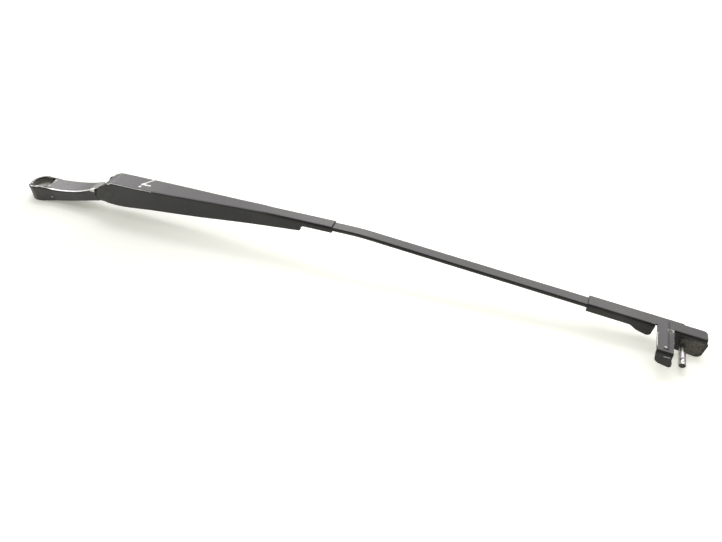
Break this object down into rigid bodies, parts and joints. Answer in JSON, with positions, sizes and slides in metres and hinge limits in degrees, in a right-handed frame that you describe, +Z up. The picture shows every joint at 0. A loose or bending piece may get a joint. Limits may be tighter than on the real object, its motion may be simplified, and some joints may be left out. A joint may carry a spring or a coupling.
{
  "type": "wiper arm",
  "caption": "Sprung car wiper arm with a cranked cast head, channel cover, flat steel rod and a folded tip with side pin and locking strap.",
  "frame": {"origin": "spindle axis on the underside of the head's boss, in the plane that the arm rests on", "axes": "+X along the arm from the spindle to the blade end, +Z up along the spindle, +Y the plain side; the side pin points to -Y"},
  "size_m": [0.6292, 0.0418, 0.0444],
  "materials": {
    "cast_paint": "satin black paint on a die casting",
    "black_paint": "satin black paint on sheet steel",
    "bare_steel": "bare turned steel",
    "zinc_plate": "dull zinc plate",
    "nylon": "natural nylon"
  },
  "bodies": {
    "root": {"head": "cast_paint", "hinge_bush_near": "nylon", "hinge_bush_far": "nylon", "anchor_pin": "bare_steel"},
    "arm": {"hinge_rivet": "black_paint", "retainer": "black_paint", "rod": "black_paint", "tip_bracket": "black_paint", "side_pin": "bare_steel"},
    "link": {"spring_link": "zinc_plate"},
    "spring": {"tension_spring": "zinc_plate"}
  },
  "joints": [
    {"name": "arm_lift", "type": "hinge", "parent": "root", "child": "arm", "pos_m": [0.099, 0, 0.0295], "axis": [0, -1, 0], "range_deg": [0, 70], "stiffness_Nm_per_rad": 0.8, "springref_deg": -57.3, "deforming": ["tension_spring"]},
    {"name": "link_swing", "type": "hinge", "parent": "root", "child": "link", "pos_m": [0.0925, 0, 0.0235], "axis": [0, -1, 0], "range_deg": [0, 67]},
    {"name": "spring_swing", "type": "hinge", "parent": "arm", "child": "spring", "pos_m": [0.2335, 0, 0.0355], "axis": [0, -1, 0], "range_deg": [-5, 0]}
  ],
  "couplings": [
    {"joint": "link_swing", "follows": "arm_lift", "ratio": 0.9417},
    {"joint": "spring_swing", "follows": "arm_lift", "ratio": -0.0583}
  ]
}
